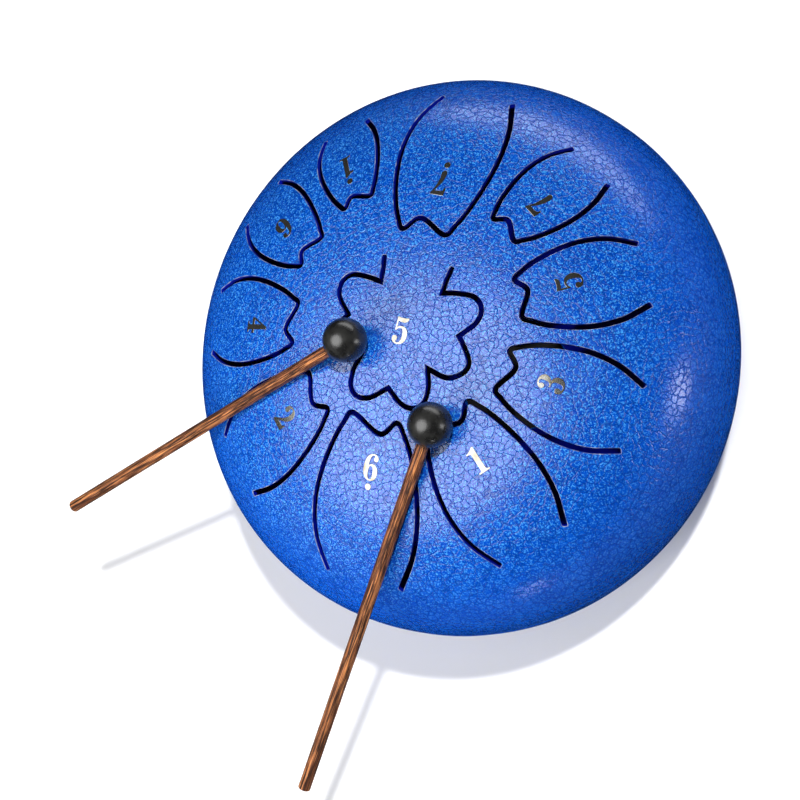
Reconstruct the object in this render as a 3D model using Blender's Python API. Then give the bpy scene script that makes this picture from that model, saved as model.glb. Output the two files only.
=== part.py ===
"""Eleven-note steel tongue drum, six-inch size, with its pair of mallets.

Metres, +Z up. The drum stands on three rubber feet with its player's side
towards -Y. The origin lies on the standing surface, under the middle of the
whole set's footprint. Everything is first placed about the drum's own axis,
with z = 0 at the equator where its two shells meet.
"""

import bmesh
import bpy
from math import atan2, cos, inf, pi, radians, sin
from mathutils import Matrix, Vector, geometry

MM = 0.001

# --- drum body -----------------------------------------------------------
DRUM_RADIUS = 79.5 * MM
DOME_HEIGHT = 44.5 * MM
BASE_DEPTH = 40.5 * MM
SHELL_POWER = 2.53          # superellipse exponent of both shells' profiles
WALL = 1.2 * MM
GAP = 0.3 * MM              # clearance kept between touching pieces
WELD_WIDTH = 1.6 * MM
PORT_RADIUS = 18.0 * MM     # sound port in the middle of the bottom
SHELL_SEGMENTS = 48
SHELL_RINGS = 11
PORT_CLEARANCE = 1.15       # shell rings start at this many port radii
SHARP_ANGLE = radians(35)   # edges that turn more than this stay sharp
CLOSE = 1e-6                # points nearer than this are one point

# --- tongues -------------------------------------------------------------
SLIT = 1.4 * MM
RING_STEPS = 3              # straight pieces between two outline points
FLOWER_STEPS = 2
MITRE_LIMIT = 0.5           # a corner reaches at most 1 / this times the offset
LOOP_SHARE = 0.99           # points nearer than this share of the offset go
# name, digit, octave dot (-1 low, 1 high), azimuth in degrees, tip radius,
# root radius, greatest half width, sideways lean of the tip (in half widths)
RING_NOTES = (
    ("low_6", 6, -1, -90.0, 23.8, 67.2, 15.7, -0.10),
    ("low_7", 7, -1, 92.5, 27.7, 68.6, 14.6, 0.02),
    ("1", 1, 0, -45.3, 26.3, 65.2, 14.3, 0.04),
    ("2", 2, 0, -134.9, 28.9, 64.6, 13.2, 0.00),
    ("3", 3, 0, -7.0, 30.8, 64.8, 12.3, 0.01),
    ("4", 4, 0, 186.9, 33.2, 65.3, 12.3, 0.00),
    ("5", 5, 0, 27.2, 33.5, 65.0, 11.6, 0.03),
    ("6", 6, 0, 154.9, 38.0, 66.6, 10.8, -0.03),
    ("7", 7, 0, 57.2, 38.5, 65.7, 10.0, 0.05),
    ("high_1", 1, 1, 126.7, 40.5, 66.4, 9.5, 0.02),
)
# one side of a ring tongue: (share of the length from its tip, share of the
# greatest half width)
TONGUE_SIDE = (
    (1.00, 0.72), (0.80, 0.94), (0.60, 1.00), (0.40, 0.93),
    (0.20, 0.765), (0.07, 0.59), (0.00, 0.42),
)
TONGUE_NOTCH = (0.09, 0.12)
CENTRE_NOTE = "low_5"
CENTRE_DIGIT = 5
CENTRE_AZIMUTH = 91.4
# one side of the flower round the centre note: (angle from the middle of its
# root, radius in mm), with four inward cusps
FLOWER_SIDE = (
    (27.5, 22.2), (31.0, 18.6), (37.0, 15.4), (46.0, 18.6), (55.0, 22.4),
    (64.0, 23.4), (73.0, 21.6), (83.5, 16.8), (92.0, 18.9), (102.0, 21.6),
    (111.0, 21.3), (121.0, 18.4), (129.0, 12.9), (138.0, 17.0), (147.0, 20.3),
    (156.0, 21.0), (166.0, 19.3),
)
FLOWER_TIP = (180.0, 15.3)
FLOWER_CUSPS = (37.0, 83.5, 129.0, 180.0)
CUTTER_BOTTOM = DOME_HEIGHT * 0.25    # upright cutters pass the wall both ways
CUTTER_TOP = DOME_HEIGHT * 1.2

# --- number marks --------------------------------------------------------
DIGIT_HEIGHT = 7.3 * MM
FOIL = 0.2 * MM
MARK_GAP = 0.32 * MM
DOT_RADIUS = 0.85 * MM
DOT_SPACE = 1.7 * MM        # from the digit's edge to the dot's centre
DOT_SEGMENTS = 16
GLYPH_STEPS = 2
# azimuth in degrees and radius in mm of each digit's middle
MARK_PLACES = {
    "low_6": (-89.8, 36.8), "low_7": (91.5, 41.9), "1": (-44.0, 40.4),
    "2": (-135.0, 41.7), "3": (-5.6, 43.9), "4": (188.2, 46.6),
    "5": (28.8, 47.1), "6": (155.0, 51.3), "7": (56.3, 50.0),
    "high_1": (127.6, 52.8), "low_5": (-90.0, -0.3),
}

# --- feet ----------------------------------------------------------------
FOOT_CIRCLE = 42.0 * MM
FOOT_RADIUS = 6.5 * MM
FOOT_HEIGHT_BELOW_BASE = 3.0 * MM
FOOT_AZIMUTHS = {"front": -90.0, "right": 30.0, "left": 150.0}
FOOT_SEGMENTS = 24
ADHESIVE = 0.8 * MM
ADHESIVE_GAP = 0.33 * MM    # between the shell and the adhesive disc

# --- mallets -------------------------------------------------------------
BALL_RADIUS = 6.0 * MM
STICK_RADIUS = 1.75 * MM
STICK_REACH = 115.0 * MM    # from the ball's centre to the stick's end
BORE_DEPTH = 4.0 * MM       # how far the bore passes the ball's centre
MALLET_GAP = 0.4 * MM
BALL_SEGMENTS = 20
BALL_STEPS = 11             # from the far pole to the bore's mouth
STICK_SEGMENTS = 14
STICK_CHAMFER = 0.25 * MM
# name, ball centre's x and y from the drum's axis, heading and droop
MALLETS = (
    ("left", -12.3, -5.8, -144.2, 15.0),
    ("right", 17.4, -22.2, -103.9, 17.9),
)

EQUATOR_HEIGHT = BASE_DEPTH + FOOT_HEIGHT_BELOW_BASE


# --- digit outlines ------------------------------------------------------
# Bold serif numerals, one unit high. A pair is a straight line's end, and a
# six is a cubic curve's two handles and its end.
GLYPHS = {
    1: [(
        (0.10, 0.00), (0.56, 0.00), (0.56, 0.05),
        (0.46, 0.05, 0.43, 0.07, 0.43, 0.14), (0.43, 1.00), (0.37, 1.00),
        (0.30, 0.93, 0.20, 0.88, 0.07, 0.86), (0.07, 0.81),
        (0.16, 0.82, 0.23, 0.80, 0.23, 0.74), (0.23, 0.14),
        (0.23, 0.07, 0.20, 0.05, 0.10, 0.05),
    )],
    2: [(
        (0.04, 0.00), (0.56, 0.00), (0.60, 0.28), (0.55, 0.28),
        (0.53, 0.19, 0.50, 0.18, 0.42, 0.18), (0.22, 0.18),
        (0.34, 0.30, 0.58, 0.47, 0.58, 0.71),
        (0.58, 0.88, 0.46, 1.00, 0.30, 1.00),
        (0.14, 1.00, 0.04, 0.90, 0.04, 0.77),
        (0.04, 0.70, 0.08, 0.66, 0.14, 0.66),
        (0.20, 0.66, 0.24, 0.70, 0.24, 0.76),
        (0.24, 0.81, 0.20, 0.83, 0.20, 0.87),
        (0.20, 0.92, 0.25, 0.95, 0.29, 0.95),
        (0.36, 0.95, 0.39, 0.86, 0.39, 0.71),
        (0.39, 0.47, 0.20, 0.25, 0.04, 0.10),
    )],
    3: [(
        (0.30, 1.00), (0.15, 1.00, 0.06, 0.92, 0.06, 0.82),
        (0.06, 0.76, 0.09, 0.72, 0.15, 0.72),
        (0.20, 0.72, 0.24, 0.75, 0.24, 0.81),
        (0.24, 0.85, 0.21, 0.87, 0.21, 0.91),
        (0.21, 0.94, 0.24, 0.95, 0.28, 0.95),
        (0.35, 0.95, 0.37, 0.89, 0.37, 0.76),
        (0.37, 0.62, 0.33, 0.55, 0.23, 0.55), (0.18, 0.55), (0.18, 0.50),
        (0.24, 0.50), (0.35, 0.50, 0.41, 0.43, 0.41, 0.28),
        (0.41, 0.14, 0.37, 0.05, 0.28, 0.05),
        (0.23, 0.05, 0.19, 0.06, 0.19, 0.10),
        (0.19, 0.14, 0.23, 0.16, 0.23, 0.21),
        (0.23, 0.27, 0.19, 0.31, 0.13, 0.31),
        (0.07, 0.31, 0.03, 0.27, 0.03, 0.20),
        (0.03, 0.08, 0.13, 0.00, 0.29, 0.00),
        (0.47, 0.00, 0.60, 0.10, 0.60, 0.27),
        (0.60, 0.41, 0.52, 0.50, 0.38, 0.53),
        (0.48, 0.56, 0.56, 0.64, 0.56, 0.76),
        (0.56, 0.90, 0.46, 1.00, 0.30, 1.00),
    )],
    4: [(
        (0.38, 1.00), (0.02, 0.35), (0.02, 0.25), (0.29, 0.25), (0.29, 0.14),
        (0.29, 0.07, 0.26, 0.05, 0.17, 0.05), (0.17, 0.00), (0.57, 0.00),
        (0.57, 0.05), (0.50, 0.05, 0.47, 0.07, 0.47, 0.14), (0.47, 0.25),
        (0.61, 0.25), (0.61, 0.36), (0.47, 0.36), (0.47, 1.00),
    ), (
        (0.09, 0.36), (0.29, 0.36), (0.29, 0.74),
    )],
    5: [(
        (0.08, 1.00), (0.08, 0.50), (0.12, 0.50),
        (0.16, 0.57, 0.21, 0.60, 0.28, 0.60),
        (0.37, 0.60, 0.41, 0.51, 0.41, 0.34),
        (0.41, 0.17, 0.37, 0.05, 0.27, 0.05),
        (0.22, 0.05, 0.19, 0.06, 0.19, 0.10),
        (0.19, 0.13, 0.23, 0.15, 0.23, 0.20),
        (0.23, 0.26, 0.19, 0.30, 0.13, 0.30),
        (0.07, 0.30, 0.03, 0.26, 0.03, 0.19),
        (0.03, 0.08, 0.13, 0.00, 0.28, 0.00),
        (0.46, 0.00, 0.60, 0.12, 0.60, 0.34),
        (0.60, 0.53, 0.50, 0.67, 0.33, 0.67),
        (0.25, 0.67, 0.18, 0.65, 0.13, 0.60), (0.13, 0.85),
        (0.19, 0.83, 0.26, 0.82, 0.34, 0.82),
        (0.46, 0.82, 0.54, 0.88, 0.54, 1.00),
        (0.40, 0.96, 0.20, 0.96, 0.08, 1.00),
    )],
    6: [(
        (0.36, 1.00), (0.15, 1.00, 0.02, 0.77, 0.02, 0.45),
        (0.02, 0.17, 0.13, 0.00, 0.32, 0.00),
        (0.49, 0.00, 0.60, 0.12, 0.60, 0.31),
        (0.60, 0.50, 0.50, 0.62, 0.36, 0.62),
        (0.29, 0.62, 0.24, 0.59, 0.21, 0.55),
        (0.22, 0.80, 0.27, 0.95, 0.37, 0.95),
        (0.41, 0.95, 0.42, 0.93, 0.42, 0.90),
        (0.42, 0.87, 0.39, 0.85, 0.39, 0.81),
        (0.39, 0.76, 0.43, 0.73, 0.48, 0.73),
        (0.54, 0.73, 0.57, 0.77, 0.57, 0.82),
        (0.57, 0.92, 0.48, 1.00, 0.36, 1.00),
    ), (
        (0.32, 0.05), (0.39, 0.05, 0.41, 0.14, 0.41, 0.31),
        (0.41, 0.46, 0.38, 0.55, 0.31, 0.55),
        (0.25, 0.55, 0.21, 0.45, 0.21, 0.31),
        (0.21, 0.14, 0.24, 0.05, 0.32, 0.05),
    )],
    7: [(
        (0.07, 1.00), (0.05, 0.70), (0.10, 0.70),
        (0.12, 0.80, 0.16, 0.84, 0.26, 0.84), (0.48, 0.84),
        (0.32, 0.60, 0.20, 0.40, 0.20, 0.12),
        (0.20, 0.04, 0.24, 0.00, 0.30, 0.00),
        (0.37, 0.00, 0.40, 0.05, 0.40, 0.13),
        (0.40, 0.45, 0.46, 0.70, 0.60, 0.94), (0.60, 1.00),
    )],
}
GLYPH_MIDDLE = Vector((0.31, 0.5))


# --- scene and materials -------------------------------------------------
def clear_scene():
    for obj in list(bpy.data.objects):
        bpy.data.objects.remove(obj)


def make_material(name, colour, roughness, metallic=0.0):
    material = bpy.data.materials.new(name)
    material.use_nodes = True
    shader = material.node_tree.nodes["Principled BSDF"]
    shader.inputs["Base Color"].default_value = (*colour, 1.0)
    shader.inputs["Roughness"].default_value = roughness
    shader.inputs["Metallic"].default_value = metallic
    return material


def make_empty(name, parent=None, matrix=None):
    empty = bpy.data.objects.new(name, None)
    bpy.context.collection.objects.link(empty)
    empty.parent = parent
    empty.matrix_basis = matrix or Matrix()
    return empty


def make_object(name, mesh_or_bmesh, material, parent, matrix=None):
    mesh = mesh_or_bmesh
    if isinstance(mesh, bmesh.types.BMesh):
        mesh = bpy.data.meshes.new(name)
        bmesh.ops.recalc_face_normals(mesh_or_bmesh, faces=mesh_or_bmesh.faces)
        mesh_or_bmesh.to_mesh(mesh)
        mesh_or_bmesh.free()
    obj = bpy.data.objects.new(name, mesh)
    bpy.context.collection.objects.link(obj)
    if material:
        mesh.materials.append(material)
    obj.parent = parent
    obj.matrix_basis = matrix or Matrix()
    return obj


def make_guide(obj):
    obj.hide_render = True
    obj.display_type = 'WIRE'
    return obj


def shade_round(obj):
    obj.data.shade_smooth()
    obj.data.set_sharp_from_angle(angle=SHARP_ANGLE)


def add_boolean(obj, operation, cutter):
    modifier = obj.modifiers.new(operation.lower(), 'BOOLEAN')
    modifier.operation = operation
    modifier.solver = 'EXACT'
    modifier.object = cutter


# --- mesh makers ---------------------------------------------------------
def revolved(profile, segments, closed):
    """A profile of (radius, z) points turned about Z; points on the axis are
    welded into one."""
    shape = bmesh.new()
    verts = [shape.verts.new((r, 0.0, z)) for r, z in profile]
    ends = verts[1:] + verts[:1] if closed else verts[1:]
    edges = [shape.edges.new(pair) for pair in zip(verts, ends)]
    bmesh.ops.spin(
        shape, geom=verts + edges, cent=(0, 0, 0), axis=(0, 0, 1),
        angle=2 * pi, steps=segments, use_merge=True,
    )
    bmesh.ops.remove_doubles(shape, verts=shape.verts, dist=CLOSE)
    return shape


def prism(outline, bottom, top):
    """A closed (x, y) outline carried straight up from bottom to top."""
    shape = bmesh.new()
    floor = [shape.verts.new((x, y, bottom)) for x, y in outline]
    face = shape.faces.new(floor)
    grown = bmesh.ops.extrude_face_region(shape, geom=[face])
    raised = [g for g in grown["geom"] if isinstance(g, bmesh.types.BMVert)]
    bmesh.ops.translate(shape, verts=raised, vec=(0, 0, top - bottom))
    return shape


def smooth_through(points, steps, corners=()):
    """Catmull-Rom curve through an open run of plan points, sharp at the
    points whose places in the run are in corners."""
    stops = [0, *corners, len(points) - 1]
    curve = [points[0]]
    for first, last in zip(stops, stops[1:]):
        span = points[first:last + 1]
        run = [span[0] * 2 - span[1], *span, span[-1] * 2 - span[-2]]
        for a, b, c, d in zip(run, run[1:], run[2:], run[3:]):
            for step in range(1, steps + 1):
                t = step / steps
                curve.append((
                    b * 2 + (c - a) * t + (a * 2 - b * 5 + c * 4 - d) * t ** 2
                    + (b * 3 - a - c * 3 + d) * t ** 3
                ) / 2)
    return curve


def distance_to(curve, point):
    nearest = (
        geometry.intersect_point_line(point, a, b) for a, b in zip(curve, curve[1:])
    )
    spans = (
        (a.lerp(b, min(max(share, 0.0), 1.0)) - point).length
        for (_, share), a, b in zip(nearest, curve, curve[1:])
    )
    return min(spans)


def left_normal(start, end):
    along = (end - start).normalized()
    return Vector((-along.y, along.x))


def shifted_sideways(curve, distance):
    """The open curve moved to its left, mitred at its corners, without the
    small loops that this makes inside a tight bend."""
    sides = [left_normal(a, b) for a, b in zip(curve, curve[1:])]
    moved = []
    for point, before, after in zip(curve, sides[:1] + sides, sides + sides[-1:]):
        bisector = (before + after).normalized()
        reach = distance / max(bisector.dot(after), MITRE_LIMIT)
        spot = point + bisector * reach
        if distance_to(curve, spot) > abs(distance) * LOOP_SHARE:
            moved.append(spot)
    return moved


# --- shells --------------------------------------------------------------
def shell_z(radius, height):
    return height * (1 - (radius / DRUM_RADIUS) ** SHELL_POWER) ** (1 / SHELL_POWER)


def shell_normal(radius, height):
    """Unit (radial, vertical) normal of a shell's outer face."""
    share = max(shell_z(radius, height) / height, 0.0)
    outward = (radius / DRUM_RADIUS) ** (SHELL_POWER - 1) / DRUM_RADIUS
    upward = share ** (SHELL_POWER - 1) / height
    return Vector((outward, upward)).normalized()


def shell_profile(height, inner_hole):
    """Closed or axis-to-axis wall section, from the crown or the port's rim
    down to the weld and back along the inside."""
    edge = WELD_WIDTH / 2 + GAP
    rings = []
    for i in range(SHELL_RINGS):
        radius = DRUM_RADIUS * sin(pi / 2 * i / SHELL_RINGS) ** (2 / SHELL_POWER)
        if radius > inner_hole * PORT_CLEARANCE:
            rings.append(radius)
    rings.insert(0, inner_hole)
    outer = [Vector((r, shell_z(r, height))) for r in rings]
    inner = [p - shell_normal(p.x, height) * WALL for p in outer]
    inner[0].x = inner_hole
    outer.append(Vector((DRUM_RADIUS, edge)))
    inner.append(Vector((DRUM_RADIUS - WALL, edge)))
    return [tuple(p) for p in outer + inner[::-1]]


def make_shells(steel, root, windows):
    dome = make_object(
        "dome_blank", revolved(shell_profile(DOME_HEIGHT, 0.0), SHELL_SEGMENTS, False),
        None, root,
    )
    make_guide(dome)
    top = make_object("top_shell", dome.data.copy(), steel, root)
    for window in windows:
        add_boolean(top, 'DIFFERENCE', window)
    base = revolved(shell_profile(BASE_DEPTH, PORT_RADIUS), SHELL_SEGMENTS, True)
    bmesh.ops.scale(base, vec=(1, 1, -1), verts=base.verts)
    bottom = make_object("bottom_shell", base, steel, root)
    half = WELD_WIDTH / 2
    ring = revolved(
        [(DRUM_RADIUS, half), (DRUM_RADIUS, -half), (DRUM_RADIUS - WALL, -half),
         (DRUM_RADIUS - WALL, half)], SHELL_SEGMENTS, True,
    )
    weld = make_object("equator_weld", ring, steel, root)
    for obj in (top, bottom, weld):
        shade_round(obj)
    return dome


# --- tongues -------------------------------------------------------------
def turned(point, azimuth):
    """A (radial, sideways) point as (x, y)."""
    c = cos(radians(azimuth))
    s = sin(radians(azimuth))
    return Vector((point.x * c - point.y * s, point.x * s + point.y * c))


def ring_slit(tip, root, half_width, lean):
    """Centre line of a ring tongue's slit, from its right root to its left."""
    length = root - tip
    right = [(share, -width) for share, width in TONGUE_SIDE]
    left = [(share, width) for share, width in reversed(TONGUE_SIDE)]
    points = []
    for share, width in right + [TONGUE_NOTCH] + left:
        sideways = width + lean * (1 - share) ** 4
        points.append(Vector((tip + share * length, sideways * half_width)) * MM)
    return points


def flower_slit():
    """Centre line of the slit round the centre note."""
    left = [(angle, radius) for angle, radius in reversed(FLOWER_SIDE)]
    right = [(-angle, radius) for angle, radius in FLOWER_SIDE]
    points = []
    for angle, radius in right + [FLOWER_TIP] + left:
        turn = radians(angle)
        points.append(Vector((radius * cos(turn), radius * sin(turn))) * MM)
    return points


def flower_corners():
    side = [angle for angle, _ in FLOWER_SIDE]
    angles = side + [FLOWER_TIP[0]] + side[::-1]
    return [i for i, angle in enumerate(angles) if angle in FLOWER_CUSPS]


def slit_edges(name, points):
    """Outlines of the window in the shell and of the tongue inside it."""
    if name == CENTRE_NOTE:
        line = smooth_through(points, FLOWER_STEPS, flower_corners())
    else:
        line = smooth_through(points, RING_STEPS)
    window = shifted_sideways(line, SLIT / 2)
    tongue = shifted_sideways(line, -SLIT / 2)
    for end in (0, -1):
        window[end].x = points[0].x + GAP / 2
        tongue[end].x = points[0].x - GAP / 2
    return window, tongue


def upright_prism(name, outline, azimuth, root):
    flat = [turned(point, azimuth) for point in outline]
    shape = prism(flat, CUTTER_BOTTOM, CUTTER_TOP)
    return make_guide(make_object(name, shape, None, root))


def make_hinge(name, reach, azimuth, root):
    """Empty on a tongue's root line, its X axis along that line."""
    outward, upward = shell_normal(reach, DOME_HEIGHT)
    middle = Vector((reach - outward * WALL / 2, 0))
    x, y = turned(middle, azimuth)
    z = shell_z(reach, DOME_HEIGHT) - upward * WALL / 2
    turn = Matrix.Rotation(radians(azimuth - 90), 4, 'Z')
    return make_empty(f"hinge_{name}", root, Matrix.Translation((x, y, z)) @ turn)


def note_slits():
    """(name, azimuth, slit centre line) of every note."""
    slits = [
        (name, azimuth, ring_slit(tip, base, half_width, lean))
        for name, _, _, azimuth, tip, base, half_width, lean in RING_NOTES
    ]
    return slits + [(CENTRE_NOTE, CENTRE_AZIMUTH, flower_slit())]


def make_tongues(steel, root):
    """The windows' cutters, and each note's hinge with the tongue's cutter."""
    windows = []
    hinges = {}
    cutters = {}
    for name, azimuth, points in note_slits():
        window, tongue = slit_edges(name, points)
        windows.append(upright_prism(f"window_{name}", window, azimuth, root))
        cutters[name] = upright_prism(f"outline_{name}", tongue, azimuth, root)
        hinges[name] = make_hinge(name, points[0].x, azimuth, root)
    dome = make_shells(steel, root, windows)
    for name, hinge in hinges.items():
        back = hinge.matrix_basis.inverted()
        tongue = make_object(f"tongue_{name}", dome.data.copy(), steel, hinge, back)
        add_boolean(tongue, 'INTERSECT', cutters[name])
        shade_round(tongue)
    return hinges


# --- number marks --------------------------------------------------------
def cubic(a, b, c, d, t):
    s = 1 - t
    return a * s ** 3 + b * (3 * s * s * t) + c * (3 * s * t * t) + d * t ** 3


def glyph_outline(path):
    """Points of one closed outline, its curves cut into short lines."""
    points = [Vector(path[0])]
    for step in path[1:]:
        start = points[-1]
        handles = [Vector(step[i:i + 2]) for i in range(0, len(step), 2)]
        if len(handles) == 1:
            points.append(handles[0])
            continue
        for i in range(1, GLYPH_STEPS + 1):
            points.append(cubic(start, *handles, i / GLYPH_STEPS))
    if (points[-1] - points[0]).length < CLOSE:
        points.pop()
    return [(p - GLYPH_MIDDLE) * DIGIT_HEIGHT for p in points]


def surface_frame(azimuth, radius, upright):
    """Matrix of a flat mark on the dome: Z out of the surface, and Y towards
    the drum's axis, or towards +Y for the mark in the middle."""
    outward, upward = shell_normal(abs(radius), DOME_HEIGHT)
    spot = turned(Vector((radius, 0)), azimuth)
    out = turned(Vector((outward, 0)), azimuth)
    normal = Vector((out.x, out.y, upward))
    inward = Vector((0, 1, 0)) if upright else Vector((-spot.x, -spot.y, 0))
    across = inward.cross(normal).normalized()
    up = normal.cross(across)
    base = Vector((spot.x, spot.y, shell_z(abs(radius), DOME_HEIGHT)))
    frame = Matrix((across, up, normal)).transposed().to_4x4()
    return Matrix.Translation(base + normal * MARK_GAP) @ frame


def make_digit(name, digit, foil, hinge, matrix):
    outlines = [glyph_outline(path) for path in GLYPHS[digit]]
    mark = make_object(f"mark_{name}", prism(outlines[0], 0, FOIL), foil, hinge, matrix)
    for i, hole in enumerate(outlines[1:]):
        cutter = prism(hole, -FOIL, FOIL * 2)
        cutter = make_object(f"counter_{name}_{i}", cutter, None, hinge, matrix)
        add_boolean(mark, 'DIFFERENCE', make_guide(cutter))


def make_dot(name, side, foil, hinge, matrix):
    shape = bmesh.new()
    bmesh.ops.create_cone(
        shape, cap_ends=True, segments=DOT_SEGMENTS, radius1=DOT_RADIUS,
        radius2=DOT_RADIUS, depth=FOIL,
    )
    offset = (0, side * (DIGIT_HEIGHT / 2 + DOT_SPACE), FOIL)
    bmesh.ops.translate(shape, verts=shape.verts, vec=offset)
    make_object(f"octave_dot_{name}", shape, foil, hinge, matrix)


def make_marks(foil, root, hinges):
    octaves = {name: (digit, dot) for name, digit, dot, *_ in RING_NOTES}
    octaves[CENTRE_NOTE] = (CENTRE_DIGIT, 0)
    for name, (azimuth, radius) in MARK_PLACES.items():
        digit, dot = octaves[name]
        hinge = hinges[name]
        place = surface_frame(azimuth, radius * MM, name == CENTRE_NOTE)
        matrix = hinge.matrix_basis.inverted() @ place
        make_digit(name, digit, foil, hinge, matrix)
        if dot:
            make_dot(name, dot, foil, hinge, matrix)


# --- feet ----------------------------------------------------------------
def make_slice(name, centre, low, high, material, root):
    """Upright round piece between two planes, each given by its height at the
    piece's middle and its slope in plan."""
    shape = bmesh.new()
    bmesh.ops.create_cone(
        shape, cap_ends=True, segments=FOOT_SEGMENTS, radius1=FOOT_RADIUS,
        radius2=FOOT_RADIUS, depth=1.0,
    )
    for vert in shape.verts:
        height, slope = high if vert.co.z > 0 else low
        offset = vert.co.xy
        vert.co = (*(centre + offset), height + slope.dot(offset))
    return make_object(name, shape, material, root)


def make_feet(rubber, tape, root):
    outward, upward = shell_normal(FOOT_CIRCLE, BASE_DEPTH)
    tape_top = -shell_z(FOOT_CIRCLE, BASE_DEPTH) - ADHESIVE_GAP
    tape_bottom = tape_top - ADHESIVE
    floor = (-EQUATOR_HEIGHT, Vector((0, 0)))
    for name, azimuth in FOOT_AZIMUTHS.items():
        centre = turned(Vector((FOOT_CIRCLE, 0)), azimuth)
        slope = centre.normalized() * (outward / upward)
        make_slice(
            f"adhesive_disc_{name}", centre, (tape_bottom, slope), (tape_top, slope),
            tape, root,
        )
        make_slice(
            f"rubber_foot_{name}", centre, floor, (tape_bottom - GAP, slope),
            rubber, root,
        )


# --- mallets -------------------------------------------------------------
def ball_profile():
    """Ball with a blind bore, from its far pole round to the bore's end."""
    bore = STICK_RADIUS + GAP
    mouth = atan2(bore, (BALL_RADIUS ** 2 - bore ** 2) ** 0.5)
    points = []
    for i in range(BALL_STEPS + 1):
        turn = pi + (mouth - pi) * i / BALL_STEPS
        points.append((BALL_RADIUS * sin(turn), BALL_RADIUS * cos(turn)))
    points[0] = (0.0, -BALL_RADIUS)
    return points + [(bore, -BORE_DEPTH), (0.0, -BORE_DEPTH)]


def stick_profile():
    start = -BORE_DEPTH + GAP
    narrow = STICK_RADIUS - STICK_CHAMFER
    return [
        (0.0, start), (narrow, start), (STICK_RADIUS, start + STICK_CHAMFER),
        (STICK_RADIUS, STICK_REACH - STICK_CHAMFER), (narrow, STICK_REACH),
        (0.0, STICK_REACH),
    ]


def make_mallets(rubber, wood, root):
    for name, x, y, heading, droop in MALLETS:
        centre = Vector((x, y)) * MM
        radius = centre.length
        upward = shell_normal(radius, DOME_HEIGHT).y
        lift = (BALL_RADIUS + MALLET_GAP) / upward
        height = shell_z(radius, DOME_HEIGHT) + lift
        turn = Matrix.Rotation(radians(heading), 4, 'Z')
        tilt = Matrix.Rotation(radians(90 + droop), 4, 'Y')
        place = Matrix.Translation((centre.x, centre.y, height)) @ turn @ tilt
        mallet = make_empty(f"mallet_{name}", root, place)
        head = revolved(ball_profile(), BALL_SEGMENTS, False)
        shade_round(make_object(f"mallet_head_{name}", head, rubber, mallet))
        stick = revolved(stick_profile(), STICK_SEGMENTS, False)
        shade_round(make_object(f"mallet_stick_{name}", stick, wood, mallet))


# --- assembly ------------------------------------------------------------
def footprint_middle():
    """Middle of the box round all the pieces, seen from above."""
    bpy.context.view_layer.update()
    low = Vector((inf, inf))
    high = -low
    for obj in bpy.context.scene.objects:
        if obj.type != 'MESH' or obj.hide_render:
            continue
        for vert in obj.data.vertices:
            spot = obj.matrix_world @ vert.co
            low = Vector((min(low.x, spot.x), min(low.y, spot.y)))
            high = Vector((max(high.x, spot.x), max(high.y, spot.y)))
    return (low + high) / 2


def build():
    clear_scene()
    steel = make_material("blue_enamel_steel", (0.0, 0.10, 0.60), 0.35, 0.3)
    foil = make_material("silver_foil", (0.85, 0.83, 0.78), 0.25, 0.9)
    rubber = make_material("black_rubber", (0.012, 0.012, 0.013), 0.45)
    tape = make_material("adhesive_tape", (0.75, 0.75, 0.72), 0.6)
    wood = make_material("dark_wood", (0.18, 0.065, 0.035), 0.5)
    root = make_empty("drum_axis")
    hinges = make_tongues(steel, root)
    make_marks(foil, root, hinges)
    make_feet(rubber, tape, root)
    make_mallets(rubber, wood, root)
    middle = footprint_middle()
    root.location = (-middle.x, -middle.y, EQUATOR_HEIGHT)


build()
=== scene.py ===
"""Looks of the eleven-note steel tongue drum and its two mallets.

Metres, +Z up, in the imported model's frame. Shapes on the drum are worked out
about its own axis, with z = 0 at the equator, and moved to the frame's place
when their mesh is made.
"""
from math import atan2, ceil, cos, pi, radians, sin, sqrt

import bpy
import numpy as np
from mathutils import Matrix, Vector, geometry


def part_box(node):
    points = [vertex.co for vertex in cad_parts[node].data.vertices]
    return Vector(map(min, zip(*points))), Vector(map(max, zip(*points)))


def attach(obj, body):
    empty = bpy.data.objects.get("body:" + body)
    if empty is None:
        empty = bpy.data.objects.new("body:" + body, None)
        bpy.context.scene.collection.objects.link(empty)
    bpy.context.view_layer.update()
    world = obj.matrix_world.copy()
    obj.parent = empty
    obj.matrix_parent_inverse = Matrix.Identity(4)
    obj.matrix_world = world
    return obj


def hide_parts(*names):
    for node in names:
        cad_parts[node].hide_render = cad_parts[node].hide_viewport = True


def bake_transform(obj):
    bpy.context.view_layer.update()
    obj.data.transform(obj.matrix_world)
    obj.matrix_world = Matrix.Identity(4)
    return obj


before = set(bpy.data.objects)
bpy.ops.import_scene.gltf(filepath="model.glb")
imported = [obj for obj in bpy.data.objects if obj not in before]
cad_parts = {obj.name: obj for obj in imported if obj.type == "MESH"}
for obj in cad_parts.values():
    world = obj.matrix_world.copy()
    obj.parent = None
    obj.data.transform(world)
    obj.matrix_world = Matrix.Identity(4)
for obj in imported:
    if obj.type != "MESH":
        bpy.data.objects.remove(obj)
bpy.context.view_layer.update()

MM = 0.001

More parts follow.
